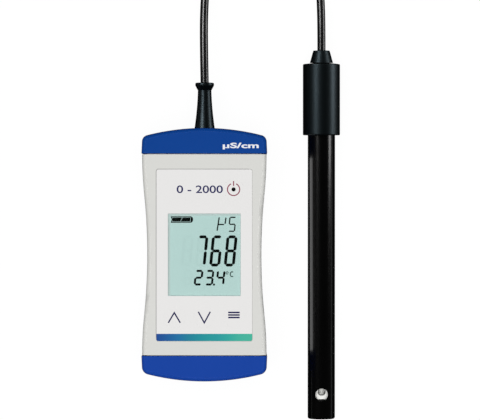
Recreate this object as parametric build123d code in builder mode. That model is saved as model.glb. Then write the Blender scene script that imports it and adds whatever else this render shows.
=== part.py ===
from build123d import *
from math import asin, atan2, cos, hypot, pi, radians, sin, tan
import os

# Handheld conductivity meter and its wired measuring probe, lying on a flat surface.
# Millimetres. Origin: centre of the meter's back face. +X to the probe's side,
# +Y along the meter towards its cable, +Z out of the display.

# ---- Driving dimensions: housing ----
meter_w = 54.6            # width across the end caps
meter_l = 110.0           # length over the crowned ends, without the cable boot
meter_h = 28.0            # thickness
waist_depth = 2.25        # each flank is drawn in by this at mid length
waist_turn = 0.6          # the flank's curve turns at this share of the seam's distance
end_bow = 3.7             # crown of each end
top_corner_r = 2.9        # plan corners at the cable end
bottom_corner_r = 3.4     # plan corners at the other end
rim_r = 1.7               # rounding round the front and the back
cap_joint_y = 43.7        # seam between shells and caps, each side of the middle
cap_seam = 0.35           # open seam between a cap and the shells
cap_draft = 0.35          # each cap narrows by this towards its end, each side
cap_step = 0.3            # each cap stands proud of the shells' flanks by this
cap_edge_r = 0.2          # eased edge at the seam
cap_wall = 2.0
cap_fit = 0.1             # clearance of a cap on the shells' tongue
tongue_l = 5.0            # how far the shells reach into a cap
tongue_wall = 1.6
shell_wall = 2.0
shell_rim_h = 1.5         # thick rim each side of the parting plane
parting_z = meter_h / 2

# ---- Foil, window and keys ----
foil_w = 41.5
foil_l = 74.4
foil_y = -0.2             # centre of the foil along the meter
foil_t = 0.4
foil_corner_r = 0.9
foil_gap = 0.12           # round the foil's edge
foil_sunk = 0.1           # foil face below the housing's face
window_w = 31.4
window_l = 35.6
window_corner_r = 0.4
window_gap = 0.05
window_flange = 1.4       # hidden flange behind the front wall
window_flange_t = 0.5
key_r = 4.5
key_gap = 0.05
key_travel = 0.35
key_well_spare = 0.1      # room left under a pressed key
plunger_r = 1.6
plunger_guide_r = 1.95
plunger_gap = 0.1
plunger_collar_r = 2.8
plunger_collar_h = 0.8
dome_r = 3.0
dome_h = 0.9
dome_t = 0.15
dome_gap = 0.05
key_from_side = 7.9       # key centres in from the foil's sides
key_from_bottom = 10.3    # lower row of keys up from the foil's lower edge
key_from_top = 8.7        # power key down from the foil's upper edge

# ---- Circuit board and display ----
board_inset = 1.0         # board in from the foil's sides
board_l = 64.0
board_t = 1.6
board_corner_r = 1.0
board_drop = 4.5          # board face below the front wall's inner face
board_post_r = 1.7
board_post_inset = 1.6    # posts in from the board's sides
board_post_y = 29.8
board_pilot_r = 0.8
board_pilot_depth = 3.6
lcd_w = 36.0
lcd_l = 41.0
lcd_t = 2.0
lcd_top_plate_t = 1.1
lcd_ledge = 2.0           # contact ledge of the lower glass plate
lcd_frame_wall = 1.2
lcd_fit = 0.1
strip_w = 1.6
strip_l = 30.0
chip_w = 10.0
chip_t = 1.4
chip_lead_l = 1.1
chip_standoff = 0.15
chip_place = (-9.0, -4.0)
component_w = 2.0
component_l = 1.2
component_h = 0.8
component_pitch = 3.5
crystal_w = 8.0
crystal_l = 3.6
crystal_h = 2.4
buzzer_r = 4.5
buzzer_h = 3.5
buzzer_edge_r = 0.4
buzzer_inset = 7.75       # its middle in from the board's side
buzzer_y = 22.0
header_w = 12.0
header_l = 5.0
header_h = 3.4
header_place = (2.0, 26.0)
lead_plug_l = 4.0
lead_plug_inset = 0.5     # plug smaller than its header all round
lead_count = 4
lead_pitch = 2.4
lead_r = 0.45
lead_bend_r = 1.6
lead_straight = 2.5       # before the first and after the last bend

# ---- Batteries, their tub and its cover ----
cell_r = 5.25
cell_l = 44.5             # AAA size, over the terminal
cell_nub_r = 1.9
cell_nub_l = 1.2
cell_pitch = 11.2
cell_play = 0.15
tub_y = -4.0              # centre of the tub along the meter
tub_wall = 1.2
tub_end_room = 3.0        # room for contacts at each end of the cells
cover_t = 1.6
cover_gap = 0.2
cover_ledge = 2.0         # ledge beside the cells
cover_end_ledge = 5.8     # ledge beyond the cells, for the screws
cover_screw_out = 0.4     # screws out from the middle of that ledge
cover_r = 3.0
seal_t = 0.8
seal_w = 1.0
seal_inset = 0.2          # seal back from the tub's mouth
contact_t = 0.4
contact_w = 7.5

# ---- Screws ----
screw_slot_w = 0.5
screw_slot_depth = 0.6
screw_fit = 0.05
boss_r = 3.0
housing_screw_inset = 6.5     # from the housing's sides
housing_screw_back = 7.85     # from the caps' seams
housing_head_r = 2.2
housing_head_h = 1.6
housing_head_sunk = 1.2
housing_shank_r = 1.0
housing_screw_l = 20.0
cap_screw_inset = 10.0        # from the housing's sides
cap_screw_out = 2.35          # beyond the caps' seams
cap_boss_r = 2.4
cap_boss_h = 8.0
cap_head_r = 1.7
cap_head_h = 1.0
cap_head_sunk = 0.15
cap_shank_r = 0.85
cap_screw_l = 8.0
cover_head_r = 1.8
cover_head_h = 0.9
cover_head_sunk = 0.1
cover_shank_r = 0.85
cover_screw_l = 7.0
board_head_r = 1.5
board_head_h = 0.9
board_shank_r = 0.7
board_screw_l = 4.8

# ---- Cable boot on the meter ----
boot_l = 20.1             # visible length
boot_collar_r = 4.1       # lip at its end
boot_collar_l = 1.2
boot_neck_r = 2.95
boot_neck_l = 2.2         # from the lip down to the narrowest place
boot_mid_r = 3.45         # half way down the flare
boot_base_r = 4.45
boot_hole_r = 3.6         # where it passes through the cap
boot_flange_r = 5.0
boot_rim_r = 0.5
boot_end_gap = 0.1        # flange to the shells' end wall
boot_fit = 0.05
boot_flange_fit = 0.15    # flange behind the crowned end wall
cable_r = 1.8
cable_fit = 0.05
crimp_r = 3.0
crimp_l = 3.6
cable_strip_y = 42.0      # where the jacket ends inside the meter

# ---- Probe ----
probe_x = 51.3            # beside the meter
probe_tip_y = -72.5
shaft_r = 6.0
shaft_l = 124.8           # tip to the head's rim
shaft_tip_r = 0.8         # rounded tip edge
shaft_bore_r = 4.7
shaft_upper_bore_r = 3.5
shaft_lower_bore_l = 116.0
spigot_r = 5.2            # end of the shaft glued into the head
spigot_l = 14.0
spigot_fit = 0.05
head_r = 8.15
head_l = 31.2             # rim to the edge of the crowned top
head_crown = 0.6
head_rim_r = 0.5
head_top_r = 0.5
head_top_wall = 3.0
bush_l = 5.4              # visible length above the head
bush_top_r = 3.6
bush_base_r = 5.1
bush_neck_r = 3.0
bush_flange_r = 4.5
bush_flange_l = 2.0
bush_rim_r = 0.3
vent_r = 2.75
vent_s = 10.9             # height of the vent above the tip
sleeve_s = 8.9            # lower edge of the white sleeve above the tip
sleeve_l = 25.0
sleeve_t = 0.9
sleeve_fit = 0.05
sleeve_hole_r = 1.8
sleeve_hole_s = 12.2
ring_s = (1.2, 5.2)       # lower edges of the electrode rings
ring_l = 2.0
sensor_r = 1.5
sensor_s = 9.8            # sensor's rounded tip
sensor_l = 48.0
sensor_tip_r = 1.35
chamber_plug_s = 22.0
chamber_plug_l = 6.0
wire_r = 0.35
wire_ring_r = 2.6
wire_count = 4
potting_l = 11.0
potting_gap = 0.2         # above the shaft's end
potting_cover = 2.0       # resin below the cable's end
o_ring_r = 0.28
o_ring_groove_w = 0.7

# ---- Cable route and its put-away coil ----
coil_x = 25.4
coil_y = 145.0
coil_layers = 3           # turns side by side, and one on another
coil_inner_turn_r = 16.5  # centre line of the innermost turn
tie_t = 0.8
tie_angle = 18.0          # tie's width, as an angle of the coil
route_rise = 6.2          # height at which the cable leaves the coil for the probe
boot_run = 13.6           # straight run out of the boot
bush_run = 11.0           # straight run out of the bush

# ---- Levels and places that follow ----
half_w = meter_w / 2
shell_half_w = half_w - cap_step
half_l = meter_l / 2
core_inset = cap_wall + cap_fit
core_end_y = cap_joint_y + tongue_l
shell_half_l = cap_joint_y - cap_seam / 2
recess_z = meter_h - foil_sunk - foil_t           # floor of the foil recess
front_wall_z = recess_z - shell_wall              # inner face of the front wall
board_z = front_wall_z - board_drop               # board's face towards the keys
board_back_z = board_z - board_t
window_flange_z = front_wall_z - window_flange_t
lcd_z = window_flange_z - lcd_t
tub_half_w = cell_pitch / 2 + cell_r + cell_play
tub_half_l = cell_l / 2 + tub_end_room
cover_half_w = tub_half_w + cover_ledge
cover_half_l = tub_half_l + cover_end_ledge
tub_floor_z = cover_t + seal_t                    # ledge that the cover's seal rests on
cell_z = tub_floor_z + cell_r + cell_play
tub_top_z = cell_z + cell_r + cell_play
cover_screw_y = tub_half_l + cover_end_ledge / 2 + cover_screw_out
boot_end_y = half_l + boot_l
board_w = foil_w - 2 * board_inset
board_post_x = board_w / 2 - board_post_inset
buzzer_place = (buzzer_inset - board_w / 2, buzzer_y)
housing_screw_x = shell_half_w - housing_screw_inset
housing_screw_y = cap_joint_y - housing_screw_back
cap_screw_x = shell_half_w - cap_screw_inset
cap_screw_y = cap_joint_y + cap_screw_out
key_column_x = foil_w / 2 - key_from_side
key_row_y = foil_y - foil_l / 2 + key_from_bottom
key_places = {
    "up": (-key_column_x, key_row_y),
    "down": (0.0, key_row_y),
    "menu": (key_column_x, key_row_y),
    "power": (key_column_x, foil_y + foil_l / 2 - key_from_top),
}
four_corners = [(i, j) for i in (-1, 1) for j in (-1, 1)]
key_well = key_travel + key_well_spare
leads_half = lead_pitch * (lead_count - 1) / 2

STAND = (Align.CENTER, Align.CENTER, Align.MIN)
HANG = (Align.CENTER, Align.CENTER, Align.MAX)

os.makedirs("parts", exist_ok=True)


# ---- Shared outlines ----
def housing_outline(seam_x=shell_half_w, waist=waist_depth):
    """Plan outline, seam_x each side at the seams: crowned ends, flanks drawn in by waist."""
    corner_y = half_l - end_bow
    with BuildLine() as outline:
        Line((seam_x - cap_draft, corner_y), (seam_x, cap_joint_y))
        if waist:
            turn = (seam_x - (1 - waist_turn) * waist, waist_turn * cap_joint_y)
            upper = TangentArc((seam_x, cap_joint_y), turn, tangent=(0, -1))
            TangentArc(upper @ 1, (seam_x - waist, 0), tangent=upper % 1)
        else:
            Line((seam_x, cap_joint_y), (seam_x, 0))
        mirror(about=Plane.XZ)
        mirror(about=Plane.YZ)
        top_right = Vector(seam_x - cap_draft, corner_y)
        ThreePointArc((-top_right.X, corner_y), (0, half_l), top_right)
        ThreePointArc((-top_right.X, -corner_y), (0, -half_l), (top_right.X, -corner_y))
    make_face(outline.edges())


def rounded_form(seam_x, waist):
    """Body over the plan outline: rounded plan corners, and a rounded rim front and back."""
    with BuildSketch() as outer_outline:
        housing_outline(seam_x, waist)
        fillet(outer_outline.vertices().group_by(Axis.Y)[-1], top_corner_r)
        fillet(outer_outline.vertices().group_by(Axis.Y)[0], bottom_corner_r)
    with BuildPart() as form:
        extrude(outer_outline.sketch, amount=meter_h)
        front_and_back = form.faces().sort_by(Axis.Z)
        fillet(front_and_back[-1].edges() + front_and_back[0].edges(), rim_r)
    return form.part


with BuildSketch() as cap_cavity_outline:
    housing_outline()
    offset(amount=-cap_wall, kind=Kind.INTERSECTION)

with BuildSketch() as core_outline:
    housing_outline()
    offset(amount=-core_inset, kind=Kind.INTERSECTION)
    Rectangle(meter_w, 2 * core_end_y, mode=Mode.INTERSECT)

with BuildSketch() as core_cavity_outline:
    add(core_outline.sketch)
    offset(amount=-tongue_wall, kind=Kind.INTERSECTION)

with BuildSketch() as shell_cavity_outline:
    housing_outline()
    offset(amount=-shell_wall, kind=Kind.INTERSECTION)
    Rectangle(meter_w, 2 * (shell_half_l - shell_wall), mode=Mode.INTERSECT)

shell_form = rounded_form(shell_half_w, waist_depth)
cap_form = rounded_form(half_w, 0)


def slotted_screw(head_r, head_h, shank_r, length):
    """Screw under each current location: crossed recess in its head, shank running down."""
    Cylinder(head_r, head_h, align=HANG)
    Cylinder(shank_r, length, align=HANG)
    Box(1.3 * head_r, screw_slot_w, screw_slot_depth, align=HANG, mode=Mode.SUBTRACT)
    Box(screw_slot_w, 1.3 * head_r, screw_slot_depth, align=HANG, mode=Mode.SUBTRACT)


def from_back(places, depth=0.0):
    """Locations on the meter's back that look into the housing, sunk by depth."""
    return [Location((x, y, depth), (180, 0, 0)) for x, y in places]


housing_screw_places = [(i * housing_screw_x, j * housing_screw_y) for i, j in four_corners]
cap_screw_places = [(i * cap_screw_x, j * cap_screw_y) for i, j in four_corners]
board_screw_places = [(i * board_post_x, j * board_post_y) for i, j in four_corners]
cover_screw_places = [(0, tub_y - cover_screw_y), (0, tub_y + cover_screw_y)]

# ---- Front shell: walls, foil recess, display opening, key wells and screw bosses ----
with BuildPart() as front_shell:
    add(shell_form)
    with Locations((0, 0, parting_z)):
        Box(2 * meter_w, 2 * shell_half_l, meter_h, align=STAND, mode=Mode.INTERSECT)
    with BuildSketch(Plane.XY.offset(parting_z)):
        add(core_outline.sketch)
    extrude(amount=meter_h - core_inset - parting_z)
    with BuildSketch(Plane.XY.offset(parting_z)):
        add(core_cavity_outline.sketch)
    extrude(amount=meter_h - core_inset - tongue_wall - parting_z, mode=Mode.SUBTRACT)
    with BuildSketch(Plane.XY.offset(parting_z + shell_rim_h)):
        add(shell_cavity_outline.sketch)
    extrude(amount=front_wall_z - parting_z - shell_rim_h, mode=Mode.SUBTRACT)
    with BuildSketch(Plane.XY.offset(recess_z)):
        with Locations((0, foil_y)):
            RectangleRounded(foil_w + 2 * foil_gap, foil_l + 2 * foil_gap, foil_corner_r)
    extrude(amount=meter_h - recess_z, mode=Mode.SUBTRACT)
    with BuildSketch(Plane.XY.offset(front_wall_z)):
        RectangleRounded(window_w + 2 * window_gap, window_l + 2 * window_gap, window_corner_r)
    extrude(amount=shell_wall, mode=Mode.SUBTRACT)
    with Locations([(x, y, parting_z) for x, y in housing_screw_places]):
        Cylinder(boss_r, front_wall_z - parting_z, align=STAND)
        Cylinder(
            housing_shank_r + screw_fit, housing_screw_l / 2, align=STAND, mode=Mode.SUBTRACT
        )
    with Locations([(x, y, board_z) for x, y in board_screw_places]):
        Cylinder(board_post_r, board_drop, align=STAND)
        Cylinder(board_pilot_r, board_pilot_depth, align=STAND, mode=Mode.SUBTRACT)
    with Locations([(x, y, recess_z) for x, y in key_places.values()]):
        CounterBoreHole(
            plunger_guide_r + plunger_gap, key_r + key_gap, key_well, depth=shell_wall
        )
    with Locations(Location((0, core_end_y, parting_z), (90, 0, 0))):
        Cylinder(cable_r + cable_fit, 2 * tongue_wall, mode=Mode.SUBTRACT)
front_shell.part.label = "front_shell"
export_step(front_shell.part, "parts/front_shell.step")

# ---- Rear shell: walls, battery tub, screw bosses and the seal's groove ----
with BuildPart() as rear_shell:
    add(shell_form)
    with Locations((0, 0, parting_z)):
        Box(2 * meter_w, 2 * shell_half_l, meter_h, align=HANG, mode=Mode.INTERSECT)
    with BuildSketch(Plane.XY.offset(core_inset)):
        add(core_outline.sketch)
    extrude(amount=parting_z - core_inset)
    with BuildSketch(Plane.XY.offset(core_inset + tongue_wall)):
        add(core_cavity_outline.sketch)
    extrude(amount=parting_z - core_inset - tongue_wall, mode=Mode.SUBTRACT)
    with BuildSketch(Plane.XY.offset(shell_wall)):
        add(shell_cavity_outline.sketch)
    extrude(amount=parting_z - shell_rim_h - shell_wall, mode=Mode.SUBTRACT)
    with Locations([(x, y, shell_wall) for x, y in housing_screw_places]):
        Cylinder(boss_r, parting_z - shell_wall, align=STAND)
    with Locations(from_back(housing_screw_places)):
        CounterBoreHole(
            housing_shank_r + 4 * screw_fit,
            housing_head_r + 4 * screw_fit,
            housing_head_sunk + housing_head_h,
            depth=parting_z,
        )
    with Locations([(x, y, core_inset) for x, y in cap_screw_places]):
        Cylinder(cap_boss_r, cap_boss_h, align=STAND)
        Cylinder(cap_shank_r + screw_fit, cap_boss_h, align=STAND, mode=Mode.SUBTRACT)
    with BuildSketch(Plane.XY.offset(shell_wall)):
        with Locations((0, tub_y)):
            RectangleRounded(
                2 * (cover_half_w + cover_gap + tub_wall),
                2 * (cover_half_l + cover_gap + tub_wall),
                cover_r + tub_wall,
            )
    extrude(amount=tub_top_z + tub_wall - shell_wall)
    with BuildSketch():
        with Locations((0, tub_y)):
            RectangleRounded(
                2 * (cover_half_w + cover_gap), 2 * (cover_half_l + cover_gap), cover_r + cover_gap
            )
    extrude(amount=tub_floor_z, mode=Mode.SUBTRACT)
    with Locations((0, tub_y, tub_floor_z)):
        Box(
            2 * tub_half_w, 2 * tub_half_l, tub_top_z - tub_floor_z, align=STAND, mode=Mode.SUBTRACT
        )
    with Locations(from_back(cover_screw_places, tub_floor_z)):
        Hole(cover_shank_r + screw_fit, depth=cover_screw_l)
    with BuildSketch(Plane.XY.offset(parting_z)) as seal_groove:
        add(core_outline.sketch)
        offset(amount=-tongue_wall / 4, kind=Kind.INTERSECTION)
        offset(amount=-tongue_wall / 2, kind=Kind.INTERSECTION, mode=Mode.SUBTRACT)
    extrude(amount=-tongue_wall / 2, mode=Mode.SUBTRACT)
    with Locations(Location((0, core_end_y, parting_z), (90, 0, 0))):
        Cylinder(cable_r + cable_fit, 2 * tongue_wall, mode=Mode.SUBTRACT)
rear_shell.part.label = "rear_shell"
export_step(rear_shell.part, "parts/rear_shell.step")

# ---- Seal between the shells, lying in the rear shell's groove ----
with BuildPart() as shell_seal:
    extrude(seal_groove.sketch, amount=-tongue_wall / 2)
    with Locations(Location((0, core_end_y, parting_z), (90, 0, 0))):
        Cylinder(cable_r + cable_fit, 2 * tongue_wall, mode=Mode.SUBTRACT)
shell_seal.part.label = "shell_seal"
export_step(shell_seal.part, "parts/shell_seal.step")

# ---- End caps: cups over the shells' tongues ----
cap_l = half_l - cap_joint_y - cap_seam / 2
cap_middle_y = half_l - cap_l / 2
with BuildPart() as top_cap:
    add(cap_form)
    with Locations((0, cap_middle_y, 0)):
        Box(2 * meter_w, cap_l, 2 * meter_h, mode=Mode.INTERSECT)
    fillet(top_cap.faces().sort_by(Axis.Y)[0].edges(), cap_edge_r)
    with BuildSketch(Plane.XY.offset(cap_wall)):
        add(cap_cavity_outline.sketch)
    extrude(amount=meter_h - 2 * cap_wall, mode=Mode.SUBTRACT)
    with Locations(from_back([(x, y) for x, y in cap_screw_places if y > 0])):
        CounterBoreHole(
            cap_shank_r + 4 * screw_fit,
            cap_head_r + 4 * screw_fit,
            cap_head_sunk + cap_head_h,
            depth=cap_wall,
        )
    with Locations(Location((0, half_l, parting_z), (90, 0, 0))):
        Cylinder(boot_hole_r + boot_fit, 3 * cap_wall, mode=Mode.SUBTRACT)
top_cap.part.label = "top_cap"
export_step(top_cap.part, "parts/top_cap.step")

with BuildPart() as bottom_cap:
    add(cap_form)
    with Locations((0, -cap_middle_y, 0)):
        Box(2 * meter_w, cap_l, 2 * meter_h, mode=Mode.INTERSECT)
    fillet(bottom_cap.faces().sort_by(Axis.Y)[-1].edges(), cap_edge_r)
    with BuildSketch(Plane.XY.offset(cap_wall)):
        add(cap_cavity_outline.sketch)
    extrude(amount=meter_h - 2 * cap_wall, mode=Mode.SUBTRACT)
    with Locations(from_back([(x, y) for x, y in cap_screw_places if y < 0])):
        CounterBoreHole(
            cap_shank_r + 4 * screw_fit,
            cap_head_r + 4 * screw_fit,
            cap_head_sunk + cap_head_h,
            depth=cap_wall,
        )
bottom_cap.part.label = "bottom_cap"
export_step(bottom_cap.part, "parts/bottom_cap.step")

# ---- Foil with its window and the four places for the keys ----
with BuildPart() as front_foil:
    with BuildSketch(Plane.XY.offset(recess_z)):
        with Locations((0, foil_y)):
            RectangleRounded(foil_w, foil_l, foil_corner_r)
        RectangleRounded(
            window_w + 2 * window_gap, window_l + 2 * window_gap, window_corner_r, mode=Mode.SUBTRACT
        )
        with Locations(list(key_places.values())):
            Circle(key_r + key_gap, mode=Mode.SUBTRACT)
    extrude(amount=foil_t)
front_foil.part.label = "front_foil"
export_step(front_foil.part, "parts/front_foil.step")

# ---- Clear display window, held by a flange behind the front wall ----
with BuildPart() as display_window:
    with BuildSketch(Plane.XY.offset(window_flange_z)):
        Rectangle(window_w + 2 * window_flange, window_l + 2 * window_flange)
    extrude(amount=window_flange_t)
    with BuildSketch(Plane.XY.offset(front_wall_z)):
        RectangleRounded(window_w, window_l, window_corner_r - window_gap)
    extrude(amount=shell_wall + foil_t)
display_window.part.label = "display_window"
export_step(display_window.part, "parts/display_window.step")

# ---- Keys: a foil pad, the plunger glued under it and the snap dome on the board ----
for key_name, (key_x, key_y) in key_places.items():
    with BuildPart() as key_pad:
        with Locations((key_x, key_y, recess_z)):
            Cylinder(key_r, foil_t, align=STAND)
    key_pad.part.label = f"key_{key_name}"
    export_step(key_pad.part, f"parts/key_{key_name}.step")

    with BuildPart() as plunger:
        with Locations((key_x, key_y, front_wall_z)):
            Cylinder(plunger_guide_r, shell_wall, align=STAND)
            Cylinder(plunger_collar_r, plunger_collar_h, align=HANG)
        with Locations((key_x, key_y, board_z + dome_h + dome_gap)):
            Cylinder(plunger_r, front_wall_z - board_z - dome_h - dome_gap, align=STAND)
    plunger.part.label = f"plunger_{key_name}"
    export_step(plunger.part, f"parts/plunger_{key_name}.step")

    with BuildPart() as snap_dome:
        with BuildSketch(Plane((key_x, key_y, board_z), x_dir=(1, 0, 0), z_dir=(0, -1, 0))):
            with BuildLine():
                outside = TangentArc((0, dome_h), (dome_r, 0), tangent=(1, 0))
                Line(outside @ 1, (dome_r - 2 * dome_t, 0))
                inside = TangentArc((0, dome_h - dome_t), (dome_r - 2 * dome_t, 0), tangent=(1, 0))
                Line(inside @ 0, outside @ 0)
            make_face()
        revolve(axis=Axis((key_x, key_y, board_z), (0, 0, 1)))
    snap_dome.part.label = f"snap_dome_{key_name}"
    export_step(snap_dome.part, f"parts/snap_dome_{key_name}.step")

# ---- Circuit board ----
with BuildPart() as circuit_board:
    with BuildSketch(Plane.XY.offset(board_z)):
        RectangleRounded(board_w, board_l, board_corner_r)
        with Locations(board_screw_places):
            Circle(board_shank_r + 2 * screw_fit, mode=Mode.SUBTRACT)
    extrude(amount=-board_t)
circuit_board.part.label = "circuit_board"
export_step(circuit_board.part, "parts/circuit_board.step")

# ---- Controller chip: moulded body with gull-wing leads down both sides ----
with BuildPart() as controller_chip:
    with Locations((*chip_place, board_back_z - chip_standoff)):
        Box(chip_w, chip_w, chip_t, align=HANG)
    with Locations((*chip_place, board_back_z)):
        with GridLocations(chip_w + chip_lead_l, chip_w / 10, 2, 9):
            Box(chip_lead_l, chip_w / 25, chip_t / 2, align=HANG)
        with GridLocations(chip_w / 10, chip_w + chip_lead_l, 9, 2):
            Box(chip_w / 25, chip_lead_l, chip_t / 2, align=HANG)
controller_chip.part.label = "controller_chip"
export_step(controller_chip.part, "parts/controller_chip.step")

# ---- Small parts soldered on the board's back: resistors, capacitors, a crystal ----
with BuildPart() as board_components:
    with Locations((chip_place[0] + 2 * chip_w, chip_place[1] - chip_w / 2, board_back_z)):
        with GridLocations(component_pitch, component_pitch, 3, 5):
            Box(component_w, component_l, component_h, align=HANG)
    with Locations((chip_place[0], chip_place[1] - 1.3 * chip_w, board_back_z)):
        Box(crystal_w, crystal_l, crystal_h, align=HANG)
board_components.part.label = "board_components"
export_step(board_components.part, "parts/board_components.step")

# ---- Buzzer: flat can with its sound hole ----
with BuildPart() as buzzer:
    with Locations((*buzzer_place, board_back_z)):
        Cylinder(buzzer_r, buzzer_h, align=HANG)
    fillet(buzzer.faces().sort_by(Axis.Z)[0].edges(), buzzer_edge_r)
    with Locations(Location((*buzzer_place, board_back_z - buzzer_h), (180, 0, 0))):
        Hole(buzzer_r / 5, depth=buzzer_h / 2)
buzzer.part.label = "buzzer"
export_step(buzzer.part, "parts/buzzer.step")

# ---- Header on the board, the plug in front of it and the leads from the cable ----
header_y = header_place[1]
plug_y = header_y + header_l / 2
with BuildPart() as cable_header:
    with Locations((header_place[0], header_y, board_back_z)):
        Box(header_w, header_l, header_h, align=HANG)
cable_header.part.label = "cable_header"
export_step(cable_header.part, "parts/cable_header.step")

with BuildPart() as lead_plug:
    with Locations((header_place[0], plug_y + lead_plug_l / 2, board_back_z)):
        Box(header_w - 2 * lead_plug_inset, lead_plug_l, header_h - lead_plug_inset, align=HANG)
lead_plug.part.label = "lead_plug"
export_step(lead_plug.part, "parts/lead_plug.step")

with BuildPart() as lead_wires:
    for i in range(lead_count):
        fan = i * lead_pitch - leads_half
        bundle = fan * (cable_r - lead_r) / leads_half
        lead_start = (bundle, cable_strip_y, parting_z)
        lead_end = (header_place[0] + fan, plug_y + lead_plug_l, board_back_z - header_h / 2)
        with BuildLine() as lead_path:
            FilletPolyline(
                lead_start,
                (bundle, cable_strip_y - lead_straight, parting_z),
                (lead_end[0], lead_end[1] + lead_straight, lead_end[2]),
                lead_end,
                radius=lead_bend_r,
            )
        with BuildSketch(Plane(lead_path.line @ 0, z_dir=lead_path.line % 0)):
            Circle(lead_r)
        sweep(path=lead_path.line)
lead_wires.part.label = "lead_wires"
export_step(lead_wires.part, "parts/lead_wires.step")

# ---- LCD: upper and lower glass plate, its frame and the conductive rubber strips ----
with BuildPart() as lcd_glass:
    with Locations((0, 0, lcd_z)):
        Box(lcd_w, lcd_l, lcd_t - lcd_top_plate_t, align=STAND)
    with Locations((0, 0, lcd_z + lcd_t)):
        Box(lcd_w, lcd_l - 2 * lcd_ledge, lcd_top_plate_t, align=HANG)
lcd_glass.part.label = "lcd_glass"
export_step(lcd_glass.part, "parts/lcd_glass.step")

with BuildPart() as lcd_frame:
    with Locations((0, 0, board_z)):
        Box(
            lcd_w + 2 * (lcd_fit + lcd_frame_wall),
            lcd_l + 2 * (lcd_fit + lcd_frame_wall),
            window_flange_z - board_z,
            align=STAND,
        )
        Box(
            lcd_w + 2 * lcd_fit,
            lcd_l + 2 * lcd_fit,
            window_flange_z - board_z,
            align=STAND,
            mode=Mode.SUBTRACT,
        )
lcd_frame.part.label = "lcd_frame"
export_step(lcd_frame.part, "parts/lcd_frame.step")

with BuildPart() as contact_strips:
    with Locations((0, 0, board_z)):
        with GridLocations(1, lcd_l - lcd_ledge, 1, 2):
            Box(strip_l, strip_w, lcd_z - board_z, align=STAND)
contact_strips.part.label = "contact_strips"
export_step(contact_strips.part, "parts/contact_strips.step")

# ---- Batteries, their contacts, the cover and its seal ----
with BuildPart() as battery_cells:
    for side in (-1, 1):
        for radius, reach in ((cell_r, cell_l / 2 - cell_nub_l), (cell_nub_r, cell_l / 2)):
            with Locations(Location((side * cell_pitch / 2, tub_y, cell_z), (side * 90, 0, 0))):
                Cylinder(radius, cell_l / 2, align=HANG)
                Cylinder(radius, reach, align=STAND)
battery_cells.part.label = "battery_cells"
export_step(battery_cells.part, "parts/battery_cells.step")

with BuildPart() as battery_contacts:
    for side in (-1, 1):
        with Locations((side * cell_pitch / 2, tub_y - side * (tub_half_l - contact_t / 2), cell_z)):
            Box(contact_w, contact_t, contact_w)
battery_contacts.part.label = "battery_contacts"
export_step(battery_contacts.part, "parts/battery_contacts.step")

with BuildPart() as battery_springs:
    for side in (-1, 1):
        wall_y = tub_y + side * tub_half_l
        cell_y = tub_y + side * cell_l / 2
        with BuildSketch(
            Plane((side * cell_pitch / 2, 0, cell_z), x_dir=(0, 1, 0), z_dir=(1, 0, 0))
        ):
            with BuildLine():
                Polyline(
                    (wall_y, -contact_w / 2),
                    (wall_y, contact_w / 2),
                    (wall_y - side * contact_t, contact_w / 2),
                    (cell_y, contact_t / 2),
                    (cell_y, -contact_t / 2),
                    (cell_y + side * contact_t, -contact_t / 2),
                    (cell_y + side * contact_t, 0),
                    (wall_y - side * contact_t, contact_w / 2 - 2 * contact_t),
                    (wall_y - side * contact_t, -contact_w / 2),
                    close=True,
                )
            make_face()
        extrude(amount=contact_w / 3, both=True)
battery_springs.part.label = "battery_springs"
export_step(battery_springs.part, "parts/battery_springs.step")

with BuildPart() as battery_cover:
    with BuildSketch():
        with Locations((0, tub_y)):
            RectangleRounded(2 * cover_half_w, 2 * cover_half_l, cover_r)
    extrude(amount=cover_t)
    with Locations(from_back(cover_screw_places)):
        CounterBoreHole(
            cover_shank_r + 4 * screw_fit,
            cover_head_r + 4 * screw_fit,
            cover_head_sunk + cover_head_h,
            depth=cover_t,
        )
battery_cover.part.label = "battery_cover"
export_step(battery_cover.part, "parts/battery_cover.step")

with BuildPart() as cover_seal:
    with BuildSketch(Plane.XY.offset(cover_t)):
        with Locations((0, tub_y)):
            Rectangle(
                2 * (tub_half_w + seal_inset + seal_w), 2 * (tub_half_l + seal_inset + seal_w)
            )
            Rectangle(
                2 * (tub_half_w + seal_inset), 2 * (tub_half_l + seal_inset), mode=Mode.SUBTRACT
            )
    extrude(amount=seal_t)
cover_seal.part.label = "cover_seal"
export_step(cover_seal.part, "parts/cover_seal.step")

# ---- Screws ----
with BuildPart() as housing_screws:
    with Locations(from_back(housing_screw_places, housing_head_sunk)):
        slotted_screw(housing_head_r, housing_head_h, housing_shank_r, housing_screw_l)
housing_screws.part.label = "housing_screws"
export_step(housing_screws.part, "parts/housing_screws.step")

with BuildPart() as cap_screws:
    with Locations(from_back(cap_screw_places, cap_head_sunk)):
        slotted_screw(cap_head_r, cap_head_h, cap_shank_r, cap_screw_l)
cap_screws.part.label = "cap_screws"
export_step(cap_screws.part, "parts/cap_screws.step")

with BuildPart() as cover_screws:
    with Locations(from_back(cover_screw_places, cover_head_sunk)):
        slotted_screw(cover_head_r, cover_head_h, cover_shank_r, cover_screw_l)
cover_screws.part.label = "cover_screws"
export_step(cover_screws.part, "parts/cover_screws.step")

with BuildPart() as board_screws:
    with Locations(from_back(board_screw_places, board_back_z - board_head_h)):
        slotted_screw(board_head_r, board_head_h, board_shank_r, board_screw_l)
board_screws.part.label = "board_screws"
export_step(board_screws.part, "parts/board_screws.step")

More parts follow.
